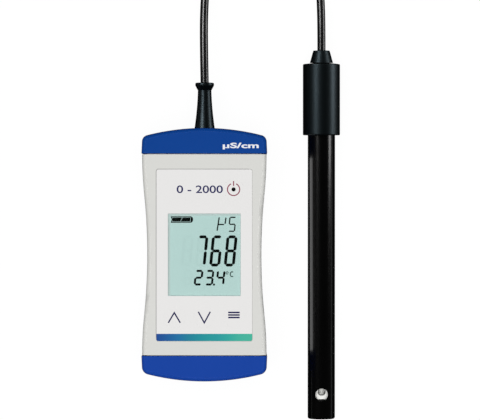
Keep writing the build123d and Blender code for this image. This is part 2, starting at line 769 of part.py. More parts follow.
# ---- Cable boot: flange inside the cap, then a tapered sleeve with a collar at its end ----
boot_axis = Axis((0, 0, parting_z), (0, 1, 0))
boot_collar_y = boot_end_y - boot_collar_l
boot_neck_y = boot_collar_y - boot_neck_l
boot_base_y = half_l + boot_fit
flange_y = half_l - cap_wall - boot_flange_fit
boot_bore_r = cable_r + cable_fit
with BuildPart() as cable_boot:
    with BuildSketch(Plane.XY.offset(parting_z)) as boot_profile:
        with BuildLine():
            Polyline(
                (boot_bore_r, core_end_y + boot_end_gap),
                (boot_flange_r, core_end_y + boot_end_gap),
                (boot_flange_r, flange_y),
                (boot_hole_r, flange_y),
                (boot_hole_r, boot_base_y),
                (boot_base_r, boot_base_y),
            )
            ThreePointArc(
                (boot_base_r, boot_base_y),
                (boot_mid_r, (boot_base_y + boot_neck_y) / 2),
                (boot_neck_r, boot_neck_y),
            )
            Polyline(
                (boot_neck_r, boot_neck_y),
                (boot_collar_r, boot_collar_y),
                (boot_collar_r, boot_end_y),
                (boot_bore_r, boot_end_y),
                (boot_bore_r, core_end_y + boot_end_gap),
            )
        make_face()
        levels = boot_profile.vertices().group_by(Axis.Y)
        fillet([levels[-1].sort_by(Axis.X)[-1], levels[-2].sort_by(Axis.X)[-1]], boot_rim_r)
    revolve(axis=boot_axis)
cable_boot.part.label = "cable_boot"
export_step(cable_boot.part, "parts/cable_boot.step")

# ---- Jacketed cable end inside the boot, and the crimp that stops it from pulling out ----
with BuildPart() as cable_tail:
    with BuildSketch(Plane((0, cable_strip_y, parting_z), z_dir=(0, 1, 0))):
        Circle(cable_r)
    extrude(amount=boot_end_y - cable_strip_y)
cable_tail.part.label = "cable_tail"
export_step(cable_tail.part, "parts/cable_tail.step")

crimp_end_y = core_end_y - tongue_wall
with BuildPart() as cable_crimp:
    with BuildSketch(Plane((0, crimp_end_y - crimp_l, parting_z), z_dir=(0, 1, 0))):
        Circle(crimp_r)
        Circle(cable_r, mode=Mode.SUBTRACT)
    extrude(amount=crimp_l)
cable_crimp.part.label = "cable_crimp"
export_step(cable_crimp.part, "parts/cable_crimp.step")

# ---- Probe: tilted so that the head's rim and the rounded tip both rest on the surface ----
rim_along = shaft_l + head_rim_r - shaft_tip_r
rim_drop = (head_r - head_rim_r) - (shaft_r - shaft_tip_r)
tilt = atan2(rim_drop, rim_along) + asin((head_rim_r - shaft_tip_r) / hypot(rim_along, rim_drop))
probe_up = Vector(0, -sin(tilt), cos(tilt))
probe_along = Vector(0, cos(tilt), sin(tilt))
probe_tip_z = shaft_tip_r * (1 - sin(tilt)) + (shaft_r - shaft_tip_r) * cos(tilt)
probe_tip = Vector(probe_x, probe_tip_y, probe_tip_z)
# Local x is the distance from the probe's axis, local y the distance from its tip
probe_plane = Plane(probe_tip, x_dir=(1, 0, 0), z_dir=probe_up)
probe_axis = Axis(probe_tip, probe_along)
head_top_s = shaft_l + head_l
bush_end_s = head_top_s + head_crown + bush_l
head_bore_end_s = head_top_s + head_crown - head_top_wall
potting_s = shaft_l + spigot_l + potting_gap
tail_s = potting_s + potting_cover


def across_probe(s):
    """Plane square to the probe's axis, s above its tip."""
    return Plane(probe_tip + probe_along * s, x_dir=(1, 0, 0), z_dir=probe_along)


# ---- Shaft: open at the tip, vented at the side, stepped where it goes into the head ----
seal_s = shaft_l + spigot_l - 3 * o_ring_groove_w
groove_r = spigot_r - 2 * o_ring_r
with BuildPart() as probe_shaft:
    with BuildSketch(probe_plane):
        with BuildLine():
            Polyline(
                (shaft_bore_r, 0),
                (shaft_r - shaft_tip_r, 0),
            )
            RadiusArc((shaft_r - shaft_tip_r, 0), (shaft_r, shaft_tip_r), -shaft_tip_r)
            Polyline(
                (shaft_r, shaft_tip_r),
                (shaft_r, shaft_l),
                (spigot_r, shaft_l),
                (spigot_r, seal_s - o_ring_groove_w),
                (groove_r, seal_s - o_ring_groove_w),
                (groove_r, seal_s),
                (spigot_r, seal_s),
                (spigot_r, shaft_l + spigot_l),
                (shaft_upper_bore_r, shaft_l + spigot_l),
                (shaft_upper_bore_r, shaft_lower_bore_l),
                (shaft_bore_r, shaft_lower_bore_l),
                (shaft_bore_r, 0),
            )
        make_face()
    revolve(axis=probe_axis)
    with BuildSketch(probe_plane):
        with Locations((0, vent_s)):
            Circle(vent_r)
    extrude(amount=2 * shaft_r, both=True, mode=Mode.SUBTRACT)
probe_shaft.part.label = "probe_shaft"
export_step(probe_shaft.part, "parts/probe_shaft.step")

# ---- Head: the grip, with a rounded rim and a crowned top ----
with BuildPart() as probe_head:
    with BuildSketch(probe_plane) as head_profile:
        with BuildLine():
            Line((0, shaft_l), (head_r - head_rim_r, shaft_l))
            RadiusArc((head_r - head_rim_r, shaft_l), (head_r, shaft_l + head_rim_r), -head_rim_r)
            Line((head_r, shaft_l + head_rim_r), (head_r, head_top_s))
            TangentArc((0, head_top_s + head_crown), (head_r, head_top_s), tangent=(1, 0))
            Line((0, head_top_s + head_crown), (0, shaft_l))
        make_face()
        fillet(head_profile.vertices().group_by(Axis.X)[-1].sort_by(Axis.Y)[-1], head_top_r)
    revolve(axis=probe_axis)
    with BuildSketch(across_probe(shaft_l)):
        Circle(spigot_r + spigot_fit)
    extrude(amount=head_bore_end_s - shaft_l, mode=Mode.SUBTRACT)
    with BuildSketch(across_probe(head_bore_end_s)):
        Circle(bush_neck_r + boot_fit)
    extrude(amount=2 * head_top_wall, mode=Mode.SUBTRACT)
probe_head.part.label = "probe_head"
export_step(probe_head.part, "parts/probe_head.step")

# ---- Seal between shaft and head ----
with BuildPart() as shaft_seal:
    with BuildSketch(probe_plane):
        with Locations((spigot_r + spigot_fit - o_ring_r, seal_s - o_ring_groove_w / 2)):
            Circle(o_ring_r)
    revolve(axis=probe_axis)
shaft_seal.part.label = "shaft_seal"
export_step(shaft_seal.part, "parts/shaft_seal.step")

# ---- Cable bush: flange inside the head, tapered sleeve outside ----
with BuildPart() as probe_cable_bush:
    with BuildSketch(probe_plane):
        with BuildLine():
            Polyline(
                (cable_r + cable_fit, head_bore_end_s - bush_flange_l),
                (bush_flange_r, head_bore_end_s - bush_flange_l),
                (bush_flange_r, head_bore_end_s),
                (bush_neck_r, head_bore_end_s),
                (bush_neck_r, head_top_s + head_crown + boot_fit),
                (bush_base_r, head_top_s + head_crown + boot_fit),
                (bush_top_r, bush_end_s),
                (cable_r + cable_fit, bush_end_s),
                close=True,
            )
        make_face()
    revolve(axis=probe_axis)
    bush_rims = probe_cable_bush.edges().filter_by(GeomType.CIRCLE).group_by(probe_axis)
    fillet(bush_rims[-1].sort_by(SortBy.RADIUS)[-1], bush_rim_r)
probe_cable_bush.part.label = "probe_cable_bush"
export_step(probe_cable_bush.part, "parts/probe_cable_bush.step")

# ---- Cable end in the head, cast into the potting plug ----
with BuildPart() as probe_cable_tail:
    with BuildSketch(across_probe(tail_s)):
        Circle(cable_r)
    extrude(amount=bush_end_s - tail_s)
probe_cable_tail.part.label = "probe_cable_tail"
export_step(probe_cable_tail.part, "parts/probe_cable_tail.step")

with BuildPart() as potting_plug:
    with BuildSketch(across_probe(potting_s)):
        Circle(spigot_r)
    extrude(amount=potting_l)
    with BuildSketch(across_probe(tail_s)):
        Circle(cable_r)
    extrude(amount=potting_l, mode=Mode.SUBTRACT)
potting_plug.part.label = "potting_plug"
export_step(potting_plug.part, "parts/potting_plug.step")

# ---- Measuring cell: two graphite rings, their spacers and the white sleeve over them ----
cell_bore_r = shaft_bore_r - sleeve_t
with BuildPart() as electrode_rings:
    for s in ring_s:
        with BuildSketch(across_probe(s)):
            Circle(shaft_bore_r)
            Circle(cell_bore_r, mode=Mode.SUBTRACT)
        extrude(amount=ring_l)
electrode_rings.part.label = "electrode_rings"
export_step(electrode_rings.part, "parts/electrode_rings.step")

with BuildPart() as cell_spacers:
    for low, high in ((ring_s[0] + ring_l, ring_s[1]), (ring_s[1] + ring_l, sleeve_s)):
        with BuildSketch(across_probe(low)):
            Circle(shaft_bore_r)
            Circle(cell_bore_r, mode=Mode.SUBTRACT)
        extrude(amount=high - low)
cell_spacers.part.label = "cell_spacers"
export_step(cell_spacers.part, "parts/cell_spacers.step")

with BuildPart() as cell_sleeve:
    with BuildSketch(across_probe(sleeve_s)):
        Circle(shaft_bore_r - sleeve_fit)
        Circle(cell_bore_r, mode=Mode.SUBTRACT)
    extrude(amount=sleeve_l)
    with BuildSketch(probe_plane):
        with Locations((0, sleeve_hole_s)):
            Circle(sleeve_hole_r)
    extrude(amount=2 * shaft_r, both=True, mode=Mode.SUBTRACT)
cell_sleeve.part.label = "cell_sleeve"
export_step(cell_sleeve.part, "parts/cell_sleeve.step")

# ---- Plug that closes the cell and holds the steel temperature sensor ----
with BuildPart() as chamber_plug:
    with BuildSketch(across_probe(chamber_plug_s)):
        Circle(cell_bore_r - sleeve_fit)
        Circle(sensor_r, mode=Mode.SUBTRACT)
    extrude(amount=chamber_plug_l)
chamber_plug.part.label = "chamber_plug"
export_step(chamber_plug.part, "parts/chamber_plug.step")

with BuildPart() as temperature_sensor:
    with BuildSketch(across_probe(sensor_s)):
        Circle(sensor_r)
    extrude(amount=sensor_l)
    sensor_tip = temperature_sensor.edges().filter_by(GeomType.CIRCLE).sort_by(probe_axis)[0]
    fillet(sensor_tip, sensor_tip_r)
temperature_sensor.part.label = "temperature_sensor"
export_step(temperature_sensor.part, "parts/temperature_sensor.step")

# ---- Leads from the cell up to the potting plug ----
wire_s = chamber_plug_s + chamber_plug_l
with BuildPart() as probe_leads:
    with BuildSketch(across_probe(wire_s)):
        with PolarLocations(wire_ring_r, wire_count, start_angle=45):
            Circle(wire_r)
    extrude(amount=potting_s - wire_s)
probe_leads.part.label = "probe_leads"
export_step(probe_leads.part, "parts/probe_leads.step")

# ---- Cable: out of the boot, into the put-away coil, and from the coil to the probe ----
cable_d = 2 * cable_r
coil_outer_turn_r = coil_inner_turn_r + (coil_layers - 1) * cable_d
bush_end = probe_tip + probe_along * bush_end_s
before_bush = bush_end + probe_along * bush_run

meter_route = [
    (0, boot_end_y, parting_z),
    (0, boot_end_y + boot_run, parting_z),
    (0.3, 106.0, 10.2),
    (1.2, 125.5, 4.2),
    (coil_x - coil_outer_turn_r, coil_y, tie_t + cable_r),
]
probe_route = [
    (coil_x + coil_outer_turn_r, coil_y, route_rise),
    (49.4, 129.5, 6.0),
    (50.4, 112.0, 7.6),
    tuple(before_bush),
    tuple(bush_end),
]


def bend_radii(points):
    """Bend radius at each inner point: 0.45 of its shorter run over the half turn's tangent."""
    radii = []
    for before, here, after in zip(points, points[1:], points[2:]):
        run_in = Vector(*here) - Vector(*before)
        run_out = Vector(*after) - Vector(*here)
        half_turn = radians(run_in.get_angle(run_out)) / 2
        radii.append(0.45 * min(run_in.length, run_out.length) / tan(half_turn))
    return radii


def cord_tube(points):
    """Round tube of the cable's radius along straight runs joined by tangent arcs."""
    radii = bend_radii(points)
    with BuildLine() as route:
        FilletPolyline(*points, radius=radii)
    path = route.wire()
    with BuildSketch(Plane(path @ 0, z_dir=path % 0)) as section:
        Circle(cable_r)
    sweep(section.sketch, path=path)
    print("bend radii", [round(r, 1) for r in radii], "length", round(path.length, 2))
    return path.length


with BuildPart() as cable_meter_run:
    meter_run_l = cord_tube(meter_route)
cable_meter_run.part.label = "cable_meter_run"
export_step(cable_meter_run.part, "parts/cable_meter_run.step")

with BuildPart() as cable_probe_run:
    probe_run_l = cord_tube(probe_route)
cable_probe_run.part.label = "cable_probe_run"
export_step(cable_probe_run.part, "parts/cable_probe_run.step")

for run, run_l in ((cable_meter_run, meter_run_l), (cable_probe_run, probe_run_l)):
    print("volume over section times length", run.part.volume / (pi * cable_r**2 * run_l))

# ---- Coil of the rest of the cable, as one solid ring, and the tie round it ----
bundle = coil_layers * cable_d
bundle_middle = (coil_inner_turn_r + coil_outer_turn_r) / 2
coil_axis = Axis((coil_x, coil_y, 0), (0, 0, 1))
with BuildPart() as cable_coil:
    with BuildSketch(Plane((coil_x, coil_y, tie_t), x_dir=(1, 0, 0), z_dir=(0, -1, 0))):
        with Locations((bundle_middle, bundle / 2)):
            RectangleRounded(bundle, bundle, cable_r)
    revolve(axis=coil_axis)
cable_coil.part.label = "cable_coil"
export_step(cable_coil.part, "parts/cable_coil.step")

tie_start = radians(90 - tie_angle / 2)
tie_radial = Vector(cos(tie_start), sin(tie_start), 0)
with BuildPart() as coil_tie:
    with BuildSketch(
        Plane((coil_x, coil_y, tie_t), x_dir=tie_radial, z_dir=tie_radial.cross(Vector(0, 0, 1)))
    ):
        with Locations((bundle_middle, bundle / 2)):
            RectangleRounded(bundle + 2 * tie_t, bundle + 2 * tie_t, cable_r + tie_t)
            RectangleRounded(bundle, bundle, cable_r, mode=Mode.SUBTRACT)
    revolve(axis=coil_axis, revolution_arc=tie_angle)
coil_tie.part.label = "coil_tie"
export_step(coil_tie.part, "parts/coil_tie.step")
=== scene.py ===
import bpy
import numpy as np
from mathutils import Matrix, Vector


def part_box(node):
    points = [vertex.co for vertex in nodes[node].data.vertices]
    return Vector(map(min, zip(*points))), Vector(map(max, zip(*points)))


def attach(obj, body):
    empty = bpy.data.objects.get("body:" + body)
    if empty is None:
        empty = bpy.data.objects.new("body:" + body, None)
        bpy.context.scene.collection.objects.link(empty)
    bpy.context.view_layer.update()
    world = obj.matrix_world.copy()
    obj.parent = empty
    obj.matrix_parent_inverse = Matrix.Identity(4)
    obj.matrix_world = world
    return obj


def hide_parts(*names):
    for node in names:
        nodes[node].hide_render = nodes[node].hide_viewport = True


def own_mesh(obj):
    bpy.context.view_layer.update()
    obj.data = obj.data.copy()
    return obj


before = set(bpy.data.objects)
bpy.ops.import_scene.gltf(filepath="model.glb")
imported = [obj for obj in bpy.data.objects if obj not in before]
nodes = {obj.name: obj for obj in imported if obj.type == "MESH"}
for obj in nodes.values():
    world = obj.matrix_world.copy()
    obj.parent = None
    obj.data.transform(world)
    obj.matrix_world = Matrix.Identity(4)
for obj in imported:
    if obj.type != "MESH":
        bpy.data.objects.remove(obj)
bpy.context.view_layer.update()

# ---- Copy-stand camera ----
# The set lies on a table and is looked at from straight above, display towards the lens.
# Both cables run out of the view at its upper edge. Up in the view is the meter's +Y.
view_x, view_y, lens_height = 0.01548, 0.01939, 1.3
lens_data = bpy.data.cameras.new("copy_stand_camera")
lens_data.sensor_width = 36.0
lens_data.lens = 220.2
lens_data.clip_start = 0.05
lens_data.clip_end = 20.0
copy_camera = bpy.data.objects.new("copy_stand_camera", lens_data)
copy_camera.location = (view_x, view_y, lens_height)
bpy.context.scene.collection.objects.link(copy_camera)
bpy.context.scene.camera = copy_camera

# ---- Cable: black vinyl-jacketed lead from the meter to the probe ----
# One round flex of 3.6 mm. It sags from the meter's boot to the table, is wound into a neat
# coil held by a tie, and rises again into the bush on the probe's head.
flex_r = 0.0018
out_of_boot = [
    (0.0, 0.0751, 0.014), (-0.0003, 0.0887, 0.014), (-0.0004, 0.106, 0.0102),
    (0.0008, 0.1255, 0.0042),
]
into_bush = [
    (0.0500, 0.1295, 0.006), (0.0510, 0.112, 0.0076),
    (0.0513, 0.100474, 0.008972), (0.0513, 0.089476, 0.008782),
]
coil_middle = np.array([0.0254, 0.145])
inner_r, between_r, outer_r = 0.0165, 0.0201, 0.0237
low_z, middle_z, high_z = 0.0026, 0.0062, 0.0098
coil_turns, points_per_turn, change_over = 8.5, 16, 0.15
lay = np.array([
    (outer_r, low_z), (between_r, low_z), (inner_r, low_z), (inner_r, middle_z),
    (between_r, middle_z), (inner_r, high_z), (between_r, high_z), (outer_r, high_z),
    (outer_r, middle_z), (outer_r, middle_z),
])


def wound(turn):
    """Points of the winding at a count of turns: clockwise seen from above, each turn on its own
    radius and level, changing to the next one evenly over the turn's last part. The points stand
    a small share outside the radius, because the spline cuts inside them."""
    whole = np.floor(turn).astype(int)
    into = np.clip((turn - whole - 1 + change_over) / change_over, 0, 1)[:, None]
    radius, level = (lay[whole] * (1 - into) + lay[whole + 1] * into).T
    angle = np.pi - 2 * np.pi * turn
    stood_out = radius / np.cos(np.pi / points_per_turn) ** 0.5
    across = coil_middle[:, None] + stood_out * np.array([np.cos(angle), np.sin(angle)])
    return np.column_stack([across.T, level])


turns = np.arange(int(coil_turns * points_per_turn) + 1) / points_per_turn
route = np.vstack([out_of_boot, wound(turns), into_bush])
flex_curve = bpy.data.curves.new("flex_lead", "CURVE")
flex_curve.dimensions = "3D"
flex_curve.bevel_depth = flex_r
flex_curve.bevel_resolution = 8
flex_curve.resolution_u = 6
flex_curve.use_fill_caps = True
flex_line = flex_curve.splines.new("NURBS")
flex_line.points.add(len(route) - 1)
flex_line.points.foreach_set("co", np.column_stack([route, np.ones(len(route))]).ravel())
flex_line.order_u = 3
flex_line.use_endpoint_u = True
flex_lead = bpy.data.objects.new("flex_lead", flex_curve)
bpy.context.scene.collection.objects.link(flex_lead)


def node_tools(material):
    """Two tools for a material's nodes: `feed` sets a node's inputs, linking each whose value is
    another node's output, and `add` makes a node with its settings and feeds it."""
    tree = material.node_tree

    def feed(node, inputs):
        for key, value in inputs.items():
            if isinstance(value, bpy.types.NodeSocket):
                tree.links.new(value, node.inputs[key])
            else:
                node.inputs[key].default_value = value
        return node

    def add(kind, inputs, **settings):
        node = tree.nodes.new(kind)
        for key, value in settings.items():
            setattr(node, key, value)
        return feed(node, inputs)

    return add, feed


def new_finish(name):
    """A named material with nodes, its Principled shader, and its node tools."""
    material = bpy.data.materials.new(name)
    material.use_nodes = True
    return material, material.node_tree.nodes["Principled BSDF"], *node_tools(material)


def pigment(red, green, blue):
    """Linear colour of a shade given in sRGB bytes: the gamma of 2.4 with its straight foot."""
    share = np.array([red, green, blue]) / 255
    linear = np.where(share <= 0.04045, share / 12.92, ((share + 0.055) / 1.055) ** 2.4)
    return (*linear.tolist(), 1.0)


def toned(shade, factor):
    """A linear colour with its three parts multiplied by a factor, none above 1."""
    return (*(min(1.0, part * factor) for part in shade[:3]), 1.0)


def moulded(name, shade, rough, grain, depth, drift=0.04, specular=0.5, gleam=(1, 1, 1, 1)):
    """Moulded or cast surface. Its shade drifts by a small share over centimetres, and a fine
    grain of the given size and depth (m) makes the bump and varies the roughness. Gleam is the
    linear tint of its reflections."""
    patches_per_m, rough_low, rough_high = 70.0, 0.85, 1.15
    material, shader, add, feed = new_finish(name)
    place = add("ShaderNodeTexCoord", {}).outputs["Object"]
    cloud = add("ShaderNodeTexNoise", {"Vector": place, "Scale": patches_per_m, "Detail": 3.0})
    speck = add("ShaderNodeTexNoise", {"Vector": place, "Scale": 1 / grain, "Detail": 4.0})
    tint = add("ShaderNodeMix", {
        0: cloud.outputs["Fac"], 6: toned(shade, 1 - drift), 7: toned(shade, 1 + drift)
    }, data_type="RGBA")
    dull = add("ShaderNodeMapRange", {
        "Value": speck.outputs["Fac"], "To Min": rough_low * rough, "To Max": rough_high * rough
    })
    relief = add(
        "ShaderNodeBump", {"Height": speck.outputs["Fac"], "Distance": depth, "Strength": 1.0}
    )
    feed(shader, {
        "Base Color": tint.outputs[2],
        "Roughness": dull.outputs["Result"],
        "Normal": relief.outputs["Normal"],
        "Specular IOR Level": specular,
        "Specular Tint": gleam,
    })
    return material


def dress(material, *names):
    """Gives the material to CAD nodes, in every slot of their objects."""
    for node_name in names:
        for held in nodes[node_name].material_slots:
            held.material = material


vinyl = moulded(
    "black_vinyl", pigment(9, 9, 10), rough=0.28, grain=0.0006, depth=0.000004, specular=0.45
)
flex_curve.materials.append(vinyl)
dress(vinyl, "cable_tail", "probe_cable_tail")
tie_rubber = moulded("tie_rubber", pigment(22, 22, 23), rough=0.6, grain=0.0004, depth=0.00002)
dress(tie_rubber, "coil_tie")
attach(flex_lead, "instrument")
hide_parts("cable_meter_run", "cable_coil", "cable_probe_run")

# ---- Table top and dark flag ----
# A pale matt paper top that goes on out of sight on all sides, a hair below the set. A sheet of
# black felt lies on it, seen only in reflections: it keeps the pale paper off the black parts.
table_half, table_drop, flag_drop = 8.0, 0.0004, 0.0002
flag_left, flag_right, flag_near, flag_far = -0.08, 0.11, -0.10, 0.20
paper_dark, paper_light, mottles_per_m = 0.39, 0.42, 9.0
mirrored_share, seen_share, white_level = 0.2, 0.85, 1.12


def sheet(name, left, right, near, far, drop, material):
    """Flat sheet under the set: one face between two sides and two ends, at a drop below it."""
    mesh = bpy.data.meshes.new(name)
    corners = [(left, near, 0), (right, near, 0), (right, far, 0), (left, far, 0)]
    mesh.from_pydata(corners, [], [(0, 1, 2, 3)])
    mesh.materials.append(material)
    laid = bpy.data.objects.new(name, mesh)
    laid.location = (0, 0, -drop)
    bpy.context.scene.collection.objects.link(laid)
    return laid


paper, paper_shader, add, feed = new_finish("pale_paper")
paper_mottle = add("ShaderNodeTexNoise", {
    "Vector": add("ShaderNodeTexCoord", {}).outputs["Object"], "Scale": mottles_per_m
})
paper_tint = add("ShaderNodeMapRange", {
    "Value": paper_mottle.outputs["Fac"], "To Min": paper_dark, "To Max": paper_light
})
feed(paper_shader, {
    "Base Color": paper_tint.outputs["Result"], "Roughness": 0.9, "Specular IOR Level": 0.1
})
ray = add("ShaderNodeLightPath", {})
mirrored = add("ShaderNodeMath", {
    0: ray.outputs["Is Glossy Ray"], 1: ray.outputs["Is Transmission Ray"]
}, operation="MAXIMUM")
mirrored_white = add(
    "ShaderNodeMath", {0: mirrored.outputs[0], 1: mirrored_share}, operation="MULTIPLY"
)
seen_white = add(
    "ShaderNodeMath", {0: ray.outputs["Is Camera Ray"], 1: seen_share}, operation="MULTIPLY"
)
whiteness = add("ShaderNodeMath", {
    0: mirrored_white.outputs[0], 1: seen_white.outputs[0]
}, operation="MAXIMUM")
white = add("ShaderNodeEmission", {"Color": (1, 1, 1, 1), "Strength": white_level})
blend_in = add("ShaderNodeMixShader", {
    0: whiteness.outputs[0], 1: paper_shader.outputs[0], 2: white.outputs[0]
})
feed(paper.node_tree.nodes["Material Output"], {"Surface": blend_in.outputs[0]})
table_top = sheet(
    "table_top", -table_half, table_half, -table_half, table_half, table_drop, paper
)

felt, felt_shader, add, feed = new_finish("black_felt")
feed(felt_shader, {
    "Base Color": (0.01, 0.01, 0.01, 1.0), "Roughness": 1.0, "Specular IOR Level": 0.0
})
black_flag = sheet("black_flag", flag_left, flag_right, flag_near, flag_far, flag_drop, felt)
black_flag.visible_camera = False
black_flag.visible_diffuse = False
black_flag.visible_shadow = False
black_flag.visible_transmission = False

# ---- Lamps and cards ----
# Two large soft lamps, above and to the right, only give light. Three white cards, two beyond the
# cable end and one beside the shaft, are only mirrored, as highlights on the black parts. Light
# linking keeps them off all other parts, which would look washed out from the side.
fill_strength = 0.03
studio = bpy.data.worlds.new("studio")
studio.use_nodes = True
studio.node_tree.nodes["Background"].inputs["Color"].default_value = (1, 1, 1, 1)
studio.node_tree.nodes["Background"].inputs["Strength"].default_value = fill_strength
bpy.context.scene.world = studio
bpy.context.scene.view_settings.view_transform = "Standard"

mirroring = bpy.data.collections.new("mirroring_parts")
mirroring.objects.link(flex_lead)
for shiny in ("cable_boot", "cable_tail", "probe_cable_tail", "coil_tie", "probe_shaft",
              "probe_head", "probe_cable_bush", "cell_sleeve", "cell_spacers", "electrode_rings",
              "temperature_sensor"):
    mirroring.objects.link(nodes[shiny])


def lamp(name, place, aim, wide, long, watts, card=False):
    """Rectangular soft lamp at a place, facing the aim point, its long side along Y. A card is only
    mirrored, and only in the black parts; any other lamp only gives light."""
    data = bpy.data.lights.new(name, "AREA")
    data.shape = "RECTANGLE"
    data.size = wide
    data.size_y = long
    data.energy = watts
    holder = bpy.data.objects.new(name, data)
    away = np.array(place, float) - np.array(aim, float)
    away /= np.linalg.norm(away)
    along = np.array([0.0, 1.0, 0.0])
    along -= away * (along @ away)
    along /= np.linalg.norm(along)
    turn = np.eye(4)
    turn[:3] = np.column_stack([np.cross(along, away), along, away, place])
    holder.matrix_world = Matrix(turn.tolist())
    holder.visible_camera = False
    holder.visible_diffuse = not card
    holder.visible_glossy = card
    holder.visible_transmission = card
    if card:
        holder.light_linking.receiver_collection = mirroring
    bpy.context.scene.collection.objects.link(holder)


lamp("sky_softbox", place=(-0.1, -0.1, 1.4), aim=(0, 0, 0), wide=1.6, long=1.6, watts=26.3)
lamp("right_softbox", place=(0.9, 0.0, 0.45), aim=(0, 0, 0), wide=0.7, long=0.9, watts=0.6)
lamp(
    "left_card", place=(-0.31, 0.36, 0.50), aim=(0.03, 0.10, 0), wide=0.18, long=0.5, watts=5.6,
    card=True,
)
lamp(
    "right_card", place=(0.40, 0.235, 0.11), aim=(0.05, 0.235, 0.01), wide=0.13, long=0.40,
    watts=1.36, card=True,
)
lamp(
    "side_card", place=(0.034, -0.0004, 0.0095), aim=(0.05, -0.0004, 0.0095), wide=0.009,
    long=0.0855, watts=0.0056, card=True,
)

# ---- Housing shells: two injection mouldings in pale grey ABS ----
# Front and rear shell meet at mid height with a grey rubber seal between them, and are held by
# four screws from the back. Their faces carry a fine spark-eroded grain.
shell_abs = moulded(
    "pale_grey_abs", pigment(217, 217, 213), rough=0.42, grain=0.0005, depth=0.00001, drift=0.012
)
dress(shell_abs, "front_shell", "rear_shell")
seal_rubber = moulded("seal_rubber", pigment(92, 94, 96), rough=0.7, grain=0.0004, depth=0.00001)
dress(seal_rubber, "shell_seal", "cover_seal", "shaft_seal")

# ---- End caps: blue ABS cups pushed over the shells' tongues ----
# Polished a little more than the shells. Each is fixed by two screws from the back. The lower
# one's blue is a shade lighter.
top_abs = moulded(
    "blue_abs_top", pigment(13, 64, 142), rough=0.3, grain=0.0005, depth=0.000006, specular=0.12
)
low_abs = moulded(
    "blue_abs_low", pigment(23, 66, 158), rough=0.3, grain=0.0005, depth=0.000006, specular=0.12
)
dress(top_abs, "top_cap")
dress(low_abs, "bottom_cap")

# ---- Front foil and key pads: printed polyester film ----
# A warm white matt film lies in the shell's recess, glued down. Under the keys it is cut into
# round pads that move. A printed band near its lower edge runs from blue to green.
foil_low, foil_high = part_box("front_foil")
foil_top = foil_high.z
band_low, band_high = -0.03738, -0.03426
band_shades = [
    (0.0, (36, 75, 147)), (0.12, (36, 95, 155)), (0.23, (37, 112, 161)), (0.33, (38, 127, 153)),
    (0.44, (38, 141, 154)), (0.54, (42, 150, 154)), (0.64, (46, 154, 157)), (0.75, (52, 166, 157)),
    (0.85, (68, 176, 157)), (1.0, (74, 182, 156)),
]
key_names = ("up", "down", "menu", "power")
pad_rim_r, pad_rim_h = 0.004545, 0.00004        # the rim fills the film's hole
pad_foot_r = 0.00449                            # below it the pad is narrower, clear of the shell
pad_ease, flat_share = 0.00001, 0.9             # edges' rounding, and each end face's share
foil_film = moulded(
    "printed_film", pigment(231, 230, 229), rough=0.5, grain=0.0003, depth=0.000004, drift=0.006,
    specular=0.2,
)


def print_band(material, left, right):
    """Prints the colour band on a film: a ramp along X between the film's sides, laid over the
    film's own shade wherever Y lies between the band's edges."""
    add, feed = node_tools(material)
    shader = material.node_tree.nodes["Principled BSDF"]
    plain = shader.inputs["Base Color"].links[0].from_socket
    apart = add("ShaderNodeSeparateXYZ", {0: add("ShaderNodeTexCoord", {}).outputs["Object"]})
    along = add(
        "ShaderNodeMapRange", {"Value": apart.outputs["X"], "From Min": left, "From Max": right}
    )
    ramp = add("ShaderNodeValToRGB", {"Fac": along.outputs["Result"]})
    stops = ramp.color_ramp.elements
    for position, shade in band_shades[1:-1]:
        stops.new(position).color = pigment(*shade)
    for stop, (position, shade) in ((stops[0], band_shades[0]), (stops[-1], band_shades[-1])):
        stop.position = position
        stop.color = pigment(*shade)
    inside = add("ShaderNodeMath", {
        0: apart.outputs["Y"], 1: (band_low + band_high) / 2, 2: (band_high - band_low) / 2
    }, operation="COMPARE")
    laid = add("ShaderNodeMix", {
        0: inside.outputs[0], 6: plain, 7: ramp.outputs["Color"]
    }, data_type="RGBA")
    feed(shader, {"Base Color": laid.outputs[2]})


def placed(name, mesh, material):
    """The finished mesh as a piece of this name and material, in the scene."""
    mesh.name = name
    mesh.materials.append(material)
    piece = bpy.data.objects.new(name, mesh)
    bpy.context.scene.collection.objects.link(piece)
    return piece


def stacked(name, rings, material):
    """Closed form through a stack of rings (levels x points x 3), each anticlockwise seen from
    above: quads join each ring to the next, and one flat face closes each end of the stack."""
    levels, count = rings.shape[:2]
    here = np.arange(count)
    after = (here + 1) % count
    rows = np.arange(levels - 1)[:, None] * count
    sides = np.stack([rows + here, rows + after, rows + count + after, rows + count + here], -1)
    ends = [here[::-1].tolist(), ((levels - 1) * count + here).tolist()]
    mesh = bpy.data.meshes.new(name)
    mesh.from_pydata(rings.reshape(-1, 3).tolist(), [], sides.reshape(-1, 4).tolist() + ends)
    return placed(name, mesh, material)


def turned(name, middle, profile, material, around=72):
    """Closed form turned about an upright axis through the middle: the profile's radii and heights
    run from the underside's centre out and back to the top's centre, and are carried round as
    x = r cos a, y = r sin a."""
    angle = np.linspace(0, 2 * np.pi, around, endpoint=False)
    x = middle[0] + profile[:, :1] * np.cos(angle)
    y = middle[1] + profile[:, :1] * np.sin(angle)
    z = np.repeat(profile[:, 1:], around, axis=1)
    return stacked(name, np.stack([x, y, z], -1), material)


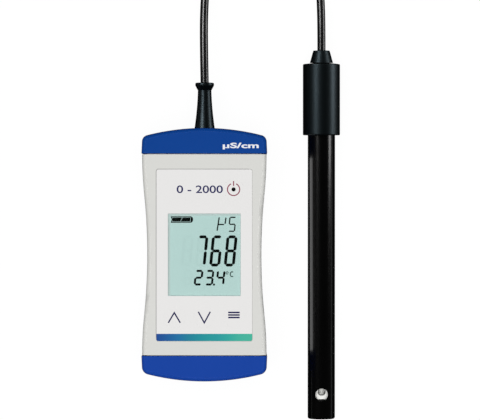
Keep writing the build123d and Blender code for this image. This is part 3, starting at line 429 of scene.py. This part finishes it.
print_band(foil_film, foil_low.x, foil_high.x)
dress(foil_film, "front_foil")
for key in key_names:
    low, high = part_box("key_" + key)
    rim_foot = high.z - pad_rim_h
    pad_profile = np.array([
        (flat_share * pad_foot_r, low.z), (pad_foot_r - pad_ease, low.z),
        (pad_foot_r, low.z + pad_ease), (pad_foot_r, rim_foot - pad_ease), (pad_rim_r, rim_foot),
        (pad_rim_r, high.z - pad_ease), (pad_rim_r - pad_ease, high.z),
        (flat_share * pad_rim_r, high.z),
    ])
    pad = turned(key + "_key_pad", (low + high) / 2, pad_profile, foil_film)
    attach(pad, key + "_key")
    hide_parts("key_" + key)

# ---- Screen print on the film, the keys and the top cap ----
# Thin raised ink: arrows up and down, three menu lines and a power ring on the key pads, the range
# above the display, and the unit in white on the cap. A grey line along the film's left and upper
# edges is painted shadow, for the shade in the film's gap.
ink_t = 0.00002
arrow_rise, arrow_half, arrow_pen = 0.0048, 0.0026, 0.00058
tip_drop = 0.0004                               # the up arrow's tip stays a little lower
menu_half, menu_pen = 0.0025, 0.00065
menu_rises = (0.0021, 0.001, -0.0001)           # the three lines, against the key's middle
aside = 0.00015                                 # up and power signs sit left of the keys' middles
ring_r, ring_pen, dot_r = 0.00264, 0.00046, 0.0009
power_bar_in, power_bar_out = 0.0011, 0.0010
# pen, corner and short ends of the painted shadow line in the film's gap
gap_shadow_pen, gap_corner, gap_short = 0.00022, 0.0006, 0.0015


def slabs(name, outlines, floor, thick, material):
    """One mesh of flat plates: each closed outline (n x 2, anticlockwise) gives a top face, a
    bottom face turned over, and a strip of quads round its edge."""
    vertices, faces, first = [], [], 0
    for outline in outlines:
        count = len(outline)
        for height in (floor + thick, floor):
            vertices.append(np.column_stack([outline, np.full(count, height)]))
        top = first + np.arange(count)
        after = first + (np.arange(count) + 1) % count
        faces.append(top.tolist())
        faces.append((top + count)[::-1].tolist())
        faces.extend(np.column_stack([top + count, after + count, after, top]).tolist())
        first += 2 * count
    mesh = bpy.data.meshes.new(name)
    mesh.from_pydata(np.vstack(vertices).tolist(), [], faces)
    return placed(name, mesh, material)


def stroke(points, width):
    """Outline of a pen stroke: the line shifted half a width to each side along the mitre of its
    neighbouring runs, one side forwards and the other backwards."""
    line = np.array(points, float)
    runs = np.diff(line, axis=0)
    runs /= np.linalg.norm(runs, axis=1)[:, None]
    normals = np.column_stack([-runs[:, 1], runs[:, 0]])
    before = np.vstack([normals[:1], normals])
    behind = np.vstack([normals, normals[-1:]])
    mitre = before + behind
    mitre /= (mitre * behind).sum(1)[:, None]
    half = mitre * width / 2
    return np.vstack([line - half, (line + half)[::-1]])


def arc(middle_x, middle_y, half_w, half_h, start, stop, count):
    """Points of an ellipse's arc, x = half_w cos a and y = half_h sin a about its middle, with a
    running anticlockwise in even steps between two angles in degrees."""
    angle = np.radians(np.linspace(start, stop, count))
    return np.column_stack([middle_x + half_w * np.cos(angle), middle_y + half_h * np.sin(angle)])


def arrow(middle_x, foot_y, tip_y):
    """Outline of an open arrowhead: a pen run up from one foot to the tip and down to the other."""
    left, right = middle_x - arrow_half, middle_x + arrow_half
    return stroke([(left, foot_y), (middle_x, tip_y), (right, foot_y)], arrow_pen)


def lettering(name, words, left, middle, wide, tall, floor, bolder, material):
    """Words as a plate mesh: the built-in letters, scaled to the width and height given and to the
    ink's thickness, laid flat from the left edge and centred on a line. The offset `bolder`
    thickens the strokes."""
    curve = bpy.data.curves.new(name, "FONT")
    curve.body = words
    curve.offset = bolder
    curve.extrude = 0.5
    holder = bpy.data.objects.new(name + "_type", curve)
    bpy.context.scene.collection.objects.link(holder)
    bpy.context.view_layer.update()
    mesh = bpy.data.meshes.new_from_object(
        holder.evaluated_get(bpy.context.evaluated_depsgraph_get())
    )
    bpy.data.objects.remove(holder)
    spots = np.zeros(3 * len(mesh.vertices))
    mesh.vertices.foreach_get("co", spots)
    spots = spots.reshape(-1, 3)
    low, high = spots.min(0), spots.max(0)
    size = np.array([wide, tall, ink_t])
    spots = (spots - low) / (high - low) * size + [left, middle - tall / 2, floor]
    mesh.vertices.foreach_set("co", spots.ravel())
    mesh.update()
    return placed(name, mesh, material)


def key_middle(key):
    """X and Y of the middle of a key's pad."""
    low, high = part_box("key_" + key)
    return ((low + high) / 2).xy


key_ink = moulded(
    "indigo_ink", pigment(22, 22, 76), rough=0.55, grain=0.0003, depth=0.000003, specular=0.2
)
up_x, up_y = key_middle("up")
down_x, down_y = key_middle("down")
menu_x, menu_y = key_middle("menu")
up_arrow = arrow(up_x - aside, up_y - arrow_rise / 2, up_y + arrow_rise / 2 - tip_drop)
down_arrow = arrow(down_x, down_y + arrow_rise / 2, down_y - arrow_rise / 2)
menu_lines = [
    stroke([(menu_x - menu_half, menu_y + rise), (menu_x + menu_half, menu_y + rise)], menu_pen)
    for rise in menu_rises
]
up_print = slabs("up_arrow_print", [up_arrow], foil_top, ink_t, key_ink)
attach(up_print, "up_key")
down_print = slabs("down_arrow_print", [down_arrow], foil_top, ink_t, key_ink)
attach(down_print, "down_key")
menu_print = slabs("menu_lines_print", menu_lines, foil_top, ink_t, key_ink)
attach(menu_print, "menu_key")

power_ink = moulded("plum_ink", pigment(142, 62, 84), rough=0.55, grain=0.0003, depth=0.000003)
dot_ink = moulded("black_ink", pigment(12, 10, 14), rough=0.5, grain=0.0003, depth=0.000003)
power_x, power_y = key_middle("power")
power_x -= aside
ring_line = arc(power_x, power_y, ring_r, ring_r, start=114, stop=426, count=60)
ring = stroke(ring_line, ring_pen)
power_bar = stroke([
    (power_x, power_y + ring_r - power_bar_in), (power_x, power_y + ring_r + power_bar_out)
], ring_pen)
power_print = slabs("power_ring_print", [ring, power_bar], foil_top, ink_t, power_ink)
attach(power_print, "power_key")
dot = arc(power_x, power_y, dot_r, dot_r, start=0, stop=345, count=24)
dot_print = slabs("power_dot_print", [dot], foil_top, ink_t, dot_ink)
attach(dot_print, "power_key")

range_ink = moulded("navy_ink", pigment(44, 44, 92), rough=0.55, grain=0.0003, depth=0.000003)
range_print = lettering(
    "range_print", "0 - 2000", left=-0.01195, middle=0.02837, wide=0.0200, tall=0.00333,
    floor=foil_top, bolder=0.012, material=range_ink,
)
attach(range_print, "instrument")
white_ink = moulded("white_ink", pigment(236, 238, 242), rough=0.5, grain=0.0003, depth=0.000003)
unit_print = lettering(
    "unit_print", "µS/cm", left=0.0080, middle=0.0471, wide=0.0156, tall=0.0029,
    floor=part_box("top_cap")[1].z, bolder=0.03, material=white_ink,
)
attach(unit_print, "instrument")

# Painted shadow: a grey line on the left and upper edges of the film only, where its gap lies in
# shade.
painted_gap_shadow = moulded(
    "painted_gap_shadow", pigment(140, 140, 138), rough=0.6, grain=0.0003, depth=0.000003, specular=0.1
)
gap_left, gap_top = foil_low.x - gap_shadow_pen / 2, foil_high.y + gap_shadow_pen / 2
gap_shadow_run = stroke([
    (gap_left, foil_low.y + gap_short), (gap_left, foil_high.y - gap_corner),
    (gap_left + gap_corner, gap_top), (foil_high.x - gap_short, gap_top),
], gap_shadow_pen)
gap_shadow_line = slabs("film_gap_shadow_line", [gap_shadow_run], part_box("front_shell")[1].z, ink_t, painted_gap_shadow)
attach(gap_shadow_line, "instrument")

# ---- Liquid crystal display: glass cell with its dark segments ----
# Glass plates with a grey-green reflector stand up into the film's opening. Lit segments show the
# reading 768, the unit, the temperature 23.4 and the battery; unlit ones show as a faint shade.
# A strip of painted shade lies along the cell's left and upper sides, where the film's edge shades
# it.
reflector = moulded(
    "lcd_reflector", pigment(196, 223, 221), rough=0.55, grain=0.0002, depth=0.000002, drift=0.008
)
dress(reflector, "lcd_glass")
cell_half = np.array([0.01568, 0.01778])
cell_floor, cell_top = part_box("lcd_glass")[1].z, 0.02715
segment_t, faint_t = 0.00003, 0.00001
italic = 0.1                                    # sideways lean of the digits per height
digit_bars = {                                  # a top, b and c right, d foot, e and f left, g middle
    "2": "abged", "3": "abgcd", "4": "fgbc", "6": "afgedc", "7": "abc", "8": "abcdefg"
}
big_y, big_digits = 0.00164, (("7", -0.00122), ("6", 0.00512), ("8", 0.01144))
big_size = {"wide": 0.0048, "tall": 0.0135, "bar": 0.00129}
small_y, small_digits = -0.00995, (("2", -0.00248), ("3", 0.00223), ("4", 0.00706))
small_size = {"wide": 0.0037, "tall": 0.0068, "bar": 0.00093}
faint_size = {"wide": 0.0046, "tall": 0.0133, "bar": 0.00112}
unit_pen, battery_pen, degree_pen, letter_pen = 0.00057, 0.00043, 0.00036, 0.00048
micro_runs = [
    [(0.00648, 0.0162), (0.0060, 0.0132), (0.00555, 0.0104)],
    [(0.0060, 0.0131), (0.00855, 0.0131)], [(0.0094, 0.0161), (0.0090, 0.0134)],
]
battery_low, battery_mid, battery_high = 0.0141, 0.01526, 0.01642
battery_left, battery_notch, nose_x, nose_deep = -0.01428, -0.01385, -0.0059, 0.00085
charge_low, charge_high, charge_left, charge_right = 0.01443, 0.01609, -0.01372, -0.00602
slash_foot, slash_head, slash_w = -0.01045, -0.0096, 0.00018
pole_x, pole_half = -0.00588, 0.00102
point_low, point_high, point_left, point_right = -0.01336, -0.01252, 0.00378, 0.0046
degree_middle, degree_r = (0.0099, -0.0079), 0.0005
letter_middle, letter_half = (0.012, -0.00845), (0.00072, 0.00105)
shade_pen, shade_in, shade_short = 0.0008, 0.0001, 0.0002


def rounded_slab(name, half, corner, edge, floor, top, material, around=12):
    """Closed slab with rounded corners and rounded-over edges. A ring of points goes round the
    corner circles; level by level it is drawn in as a quarter circle of radius edge asks: by
    edge(1 - sin a) at edge(1 - cos a) from the face, for a from 0 to 90 degrees."""
    turn = np.radians(np.linspace(0, 90, around))
    centres = np.array([(1, 1), (-1, 1), (-1, -1), (1, -1)]) * (half - corner)
    quarters = np.arange(4)[:, None] * np.pi / 2 + turn
    round_off = np.radians([0, 30, 60, 90])
    inset = edge * (1 - np.sin(round_off))
    rise = edge * (1 - np.cos(round_off))
    insets = np.concatenate([inset, inset[::-1]])
    levels = np.concatenate([floor + rise, top - rise[::-1]])
    radius = (corner - insets)[:, None, None]
    x = centres[:, 0, None] + radius * np.cos(quarters)
    y = centres[:, 1, None] + radius * np.sin(quarters)
    z = np.broadcast_to(levels[:, None, None], x.shape)
    rings = np.stack([x, y, z], -1).reshape(len(levels), quarters.size, 3)
    return stacked(name, rings, material)


def digit(sign, middle_x, middle_y, wide, tall, bar):
    """Lit bars of one seven-bar digit: each a stretched hexagon with pointed ends, placed on the
    digit's frame and then leaned over in proportion to height."""
    half_w, half_h, half_bar = (wide - bar) / 2, (tall - bar) / 2, bar / 2
    gap, tip = 0.08 * bar, 0.42 * bar
    ends = {
        "a": ((-half_w, half_h), (half_w, half_h)), "g": ((-half_w, 0), (half_w, 0)),
        "d": ((-half_w, -half_h), (half_w, -half_h)), "f": ((-half_w, 0), (-half_w, half_h)),
        "b": ((half_w, 0), (half_w, half_h)), "e": ((-half_w, -half_h), (-half_w, 0)),
        "c": ((half_w, -half_h), (half_w, 0)),
    }
    outlines = []
    for name in sign:
        start, end = np.array(ends[name], float)
        run = (end - start) / np.linalg.norm(end - start)
        side = np.array([-run[1], run[0]])
        start, end = start + gap * run, end - gap * run
        corners = np.array([
            start, start + tip * run - half_bar * side, end - tip * run - half_bar * side,
            end, end - tip * run + half_bar * side, start + tip * run + half_bar * side,
        ])
        corners[:, 0] += italic * corners[:, 1] + middle_x
        corners[:, 1] += middle_y
        outlines.append(corners)
    return outlines


display_cell = rounded_slab(
    "display_cell", cell_half, corner=0.0003, edge=0.00005, floor=cell_floor, top=cell_top,
    material=reflector,
)
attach(display_cell, "instrument")

reading = []
for sign, middle in big_digits:
    reading += digit(digit_bars[sign], middle, big_y, **big_size)
for sign, middle in small_digits:
    reading += digit(digit_bars[sign], middle, small_y, **small_size)
reading.append(np.array([
    (point_left, point_low), (point_right, point_low), (point_right, point_high),
    (point_left, point_high),
]))
reading += [stroke(run, unit_pen) for run in micro_runs]
reading += digit("afgcd", middle_x=0.0121, middle_y=0.0132, wide=0.0031, tall=0.0066, bar=unit_pen)
battery_line = np.vstack([
    [(battery_notch, battery_mid), (battery_left, battery_low)],
    arc(nose_x, battery_mid, nose_deep, battery_high - battery_mid, start=-90, stop=90, count=9),
    [(battery_left, battery_high), (battery_notch, battery_mid)],
])
reading.append(stroke(battery_line, battery_pen))
reading.append(np.array([
    (charge_left, charge_low), (slash_foot, charge_low), (slash_head, charge_high),
    (charge_left, charge_high),
]))
reading.append(np.array([
    (slash_foot + slash_w, charge_low), (charge_right, charge_low), (charge_right, charge_high),
    (slash_head + slash_w, charge_high),
]))
reading.append(arc(pole_x, battery_mid, nose_deep, pole_half, start=-90, stop=90, count=9))
lit_dye = moulded(
    "lit_segment_dye", pigment(3, 9, 7), rough=0.5, grain=0.0002, depth=0.000002, specular=0.1
)
lit_segments = slabs("lit_segments", reading, cell_top, segment_t, lit_dye)
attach(lit_segments, "instrument")

degree_ring = arc(*degree_middle, degree_r, degree_r, start=0, stop=330, count=12)
degree_line = stroke(degree_ring, degree_pen)
letter_bow = arc(*letter_middle, *letter_half, start=50, stop=310, count=14)
letter_line = stroke(letter_bow, letter_pen)
grey_dye = moulded("grey_segment_dye", pigment(70, 88, 85), rough=0.5, grain=0.0002, depth=0.000002)
degree_sign = slabs("degree_sign", [degree_line, letter_line], cell_top, segment_t, grey_dye)
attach(degree_sign, "instrument")

faint = digit("abcdefg", middle_x=-0.0074, middle_y=big_y, **faint_size)
faint += digit(
    "abcdefg", middle_x=-0.00716, middle_y=small_y, wide=0.0035, tall=0.00655, bar=0.0006
)
faint += digit("defg", middle_x=-0.0011, middle_y=big_y, **faint_size)
faint_dye = moulded(
    "unlit_segment_dye", pigment(192, 219, 217), rough=0.5, grain=0.0002, depth=0.000002
)
unlit_segments = slabs("unlit_segments", faint, cell_top, faint_t, faint_dye)
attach(unlit_segments, "instrument")

shade_left = shade_pen / 2 - cell_half[0] + shade_in
shade_top = cell_half[1] - shade_pen / 2 - shade_in
shade_run = stroke([
    (shade_left, shade_short - cell_half[1]), (shade_left, shade_top),
    (cell_half[0] - shade_short, shade_top),
], shade_pen)
# Painted shade: a greyer strip along the cell's left and upper sides, for the film edge's shade.
painted_shade = moulded(
    "painted_edge_shade", pigment(193, 209, 208), rough=0.5, grain=0.0002, depth=0.000002
)
edge_shade = slabs("display_edge_shade", [shade_run], cell_top, faint_t, painted_shade)
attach(edge_shade, "instrument")

# ---- Display window: clear acrylic pane ----
# The pane fills the film's opening, its edges rounded over a little, and stands clear of the
# display glass below. It shows what lies under it and lets the lamps through.
pane_half, pane_gap = np.array([0.0157, 0.0178]), 0.0001
rubs_per_m, rub_rough = 220.0, 0.03
acrylic, acrylic_shader, add, feed = new_finish("clear_acrylic")
rub = add("ShaderNodeTexNoise", {
    "Vector": add("ShaderNodeTexCoord", {}).outputs["Object"], "Scale": rubs_per_m, "Detail": 3.0
})
rub_gloss = add(
    "ShaderNodeMapRange", {"Value": rub.outputs["Fac"], "To Min": 0.0, "To Max": rub_rough}
)
feed(acrylic_shader, {
    "Base Color": (0.97, 0.99, 0.98, 1.0), "Roughness": rub_gloss.outputs["Result"],
    "Transmission Weight": 1.0, "IOR": 1.49, "Specular IOR Level": 0.4,
})
lamp_ray = add("ShaderNodeLightPath", {})
lamp_or_soft = add("ShaderNodeMath", {
    0: lamp_ray.outputs["Is Shadow Ray"], 1: lamp_ray.outputs["Is Diffuse Ray"]
}, operation="MAXIMUM")
passes = add("ShaderNodeBsdfTransparent", {"Color": (0.96, 0.98, 0.97, 1.0)})
pane_mix = add("ShaderNodeMixShader", {
    0: lamp_or_soft.outputs[0], 1: acrylic_shader.outputs[0], 2: passes.outputs[0]
})
feed(acrylic.node_tree.nodes["Material Output"], {"Surface": pane_mix.outputs[0]})
window_pane = rounded_slab(
    "window_pane", pane_half, corner=0.0004, edge=0.00012, floor=cell_top + pane_gap,
    top=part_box("display_window")[1].z, material=acrylic,
)
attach(window_pane, "instrument")
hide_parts("display_window")

# ---- Cable boot: soft black rubber ----
# Moulded round the cable and held by the cap: a smooth flare from the cap to a narrow neck, with
# a lip at the end. Inside the housing a tinned crimp keeps the cable from pulling out.
# Painted reflection colour: the reflections of the rubber and the satin black are tinted blue.
painted_blue_gleam = (0.66, 0.88, 1.0, 1.0)                   # the rubber and the satin black gleam a little blue
boot_rubber = moulded(
    "boot_rubber", pigment(2, 3, 3), rough=0.36, grain=0.0005, depth=0.00001, specular=0.26,
    gleam=painted_blue_gleam,
)
dress(boot_rubber, "cable_boot")
crimp_tin = moulded("tinned_crimp", pigment(170, 172, 175), rough=0.35, grain=0.0003, depth=0.00001)
dress(crimp_tin, "cable_crimp")

# ---- Probe: glossy shaft, satin head and the bush round the cable ----
# A black epoxy tube, polished by handling, is glued into a turned head of black plastic with a
# fine satin surface. The bush is soft black rubber, held by its flange inside the head.
shaft_epoxy = moulded(
    "polished_epoxy", pigment(1, 1, 1), rough=0.2, grain=0.0012, depth=0.000002, specular=0.36
)
dress(shaft_epoxy, "probe_shaft")
head_satin = moulded(
    "satin_black", pigment(1, 2, 2), rough=0.38, grain=0.0004, depth=0.00001, specular=0.28,
    gleam=painted_blue_gleam,
)
dress(head_satin, "probe_head")
bush_rubber = moulded(
    "bush_rubber", pigment(3, 5, 6), rough=0.42, grain=0.0004, depth=0.000014, specular=0.21,
    gleam=painted_blue_gleam,
)
dress(bush_rubber, "probe_cable_bush")

# ---- Measuring cell: white sleeve, black spacers, graphite rings and the steel sensor ----
# The rings lie between spacers in the sleeve, in the shaft's bore, closed by a plug that holds the
# sensor. The vent shows the sleeve and, through its hole, the sensor. Dark resin is cast round the
# cable's end in the head.
ceramic = moulded(
    "white_sleeve", pigment(238, 238, 234), rough=0.35, grain=0.0006, depth=0.000005, drift=0.01
)
dress(ceramic, "cell_sleeve")
spacer_black = moulded(
    "spacer_black", pigment(20, 20, 20), rough=0.45, grain=0.0004, depth=0.00001
)
dress(spacer_black, "cell_spacers", "chamber_plug")
carbon = moulded("pressed_carbon", pigment(52, 52, 54), rough=0.5, grain=0.0002, depth=0.000012)
dress(carbon, "electrode_rings")
resin = moulded("potting_resin", pigment(26, 24, 22), rough=0.25, grain=0.002, depth=0.00002)
dress(resin, "potting_plug")


def worked_metal(name, shade, rough, lines, drift=0.06, metal=1.0):
    """Worked metal: fine lines drawn out along Y by a stretched noise vary the gloss and the
    shade, and stand as a slight relief."""
    stretch, rough_low, rough_high, relief_h = 0.08, 0.7, 1.3, 0.000003
    material, shader, add, feed = new_finish(name)
    place = add("ShaderNodeTexCoord", {}).outputs["Object"]
    drawn = add("ShaderNodeMapping", {"Vector": place, "Scale": (1.0, stretch, 1.0)})
    scratch = add(
        "ShaderNodeTexNoise", {"Vector": drawn.outputs[0], "Scale": 1 / lines, "Detail": 4.0}
    )
    tint = add("ShaderNodeMix", {
        0: scratch.outputs["Fac"], 6: toned(shade, 1 - drift), 7: shade
    }, data_type="RGBA")
    dull = add("ShaderNodeMapRange", {
        "Value": scratch.outputs["Fac"], "To Min": rough_low * rough, "To Max": rough_high * rough
    })
    relief = add("ShaderNodeBump", {"Height": scratch.outputs["Fac"], "Distance": relief_h})
    feed(shader, {
        "Base Color": tint.outputs[2], "Roughness": dull.outputs["Result"], "Metallic": metal,
        "Normal": relief.outputs["Normal"],
    })
    return material


sensor_steel = worked_metal(
    "blasted_steel", pigment(232, 232, 228), rough=0.4, lines=0.0003, metal=0.15
)
dress(sensor_steel, "temperature_sensor")

# ---- Back: battery cover and the screws ----
# The cover is the shells' grey ABS, flush with the back, and lies on its own rubber seal. All
# screws are nickel-plated steel with a cross recess.
cover_abs = moulded(
    "cover_abs", pigment(212, 212, 208), rough=0.45, grain=0.0005, depth=0.000012, drift=0.015
)
dress(cover_abs, "battery_cover")
nickel = worked_metal("nickel_plate", pigment(196, 194, 188), rough=0.3, lines=0.0002)
dress(nickel, "housing_screws", "cap_screws", "cover_screws", "board_screws")

# ---- Batteries: two AAA cells between plated contacts ----
# Steel cans in dark printed jackets lie side by side, head to tail, in the rear shell's tub. Each
# is pressed against a nickel-plated contact plate by a bent leaf spring at its other end.
cell_jacket = moulded(
    "cell_jacket", pigment(38, 60, 72), rough=0.3, grain=0.0012, depth=0.000005, drift=0.08
)
dress(cell_jacket, "battery_cells")
dress(nickel, "battery_contacts", "battery_springs")

# ---- Circuit board and what is soldered to it ----
# Glass-fibre board with a green solder mask, screwed to posts in the front shell. The controller,
# the buzzer and the small parts are black mouldings, and the cable's header is white nylon.
board_green = moulded(
    "solder_mask", pigment(22, 84, 52), rough=0.35, grain=0.0009, depth=0.00001, drift=0.08
)
dress(board_green, "circuit_board")
mould_black = moulded(
    "component_black", pigment(34, 34, 36), rough=0.5, grain=0.0003, depth=0.000008
)
dress(mould_black, "controller_chip", "board_components", "buzzer")
nylon = moulded(
    "connector_nylon", pigment(226, 222, 208), rough=0.45, grain=0.0004, depth=0.000006
)
dress(nylon, "cable_header")

# ---- Wiring inside the meter and the probe ----
# Thin leads with red jackets run from the cable's stripped end to the nylon plug in front of the
# board's header, and from the measuring cell up the shaft to the resin plug.
dress(nylon, "lead_plug")
wire_jacket = moulded(
    "wire_jacket", pigment(150, 40, 36), rough=0.4, grain=0.0004, depth=0.000006, drift=0.05
)
dress(wire_jacket, "lead_wires", "probe_leads")

# ---- Display frame and contact strips ----
# A white nylon frame stands on the board round the display glass. Two strips of conductive grey
# rubber, squeezed between board and glass, carry the signals up to it.
dress(nylon, "lcd_frame")
strip_rubber = moulded(
    "contact_rubber", pigment(72, 74, 78), rough=0.65, grain=0.0003, depth=0.00001
)
dress(strip_rubber, "contact_strips")

# ---- Key plungers: grey plastic pins glued under the pads ----
# Each slides in a hole in the front shell, with a collar below that keeps it from coming out, and
# passes the finger's push on to its snap dome.
plunger_grey = moulded(
    "plunger_grey", pigment(160, 162, 164), rough=0.45, grain=0.0004, depth=0.000006
)
for key in key_names:
    dress(plunger_grey, "plunger_" + key)

# ---- Snap domes: sprung discs of stainless steel on the board, one under each key ----
# Each is a shallow shell pressed from thin strip. Its rim stays on the board's contact and its
# crown gives way under the plunger.
dome_t, crown_left = 0.00015, 0.6
dome_steel = worked_metal("dome_steel", pigment(200, 200, 202), rough=0.25, lines=0.0003)


def arch(rim, crown, steps=12):
    """Radii and heights of a round arch, from near its axis to its foot: the circle through the
    crown and the rim has the radius (rim^2 + crown^2) / (2 crown)."""
    bow = (rim ** 2 + crown ** 2) / (2 * crown)
    out = rim * np.linspace(0.02, 1, steps)
    return np.column_stack([out, crown - bow + np.sqrt(bow ** 2 - out ** 2)])


for key in key_names:
    low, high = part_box("snap_dome_" + key)
    middle, rim, crown = (low + high) / 2, (high.x - low.x) / 2, high.z - low.z
    dome_profile = np.vstack([arch(rim - 2 * dome_t, crown - dome_t), arch(rim, crown)[::-1]])
    dome = turned("dome_" + key, middle, dome_profile + [0, low.z], dome_steel, around=48)
    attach(dome, "instrument")
    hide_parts("snap_dome_" + key)
    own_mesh(dome)
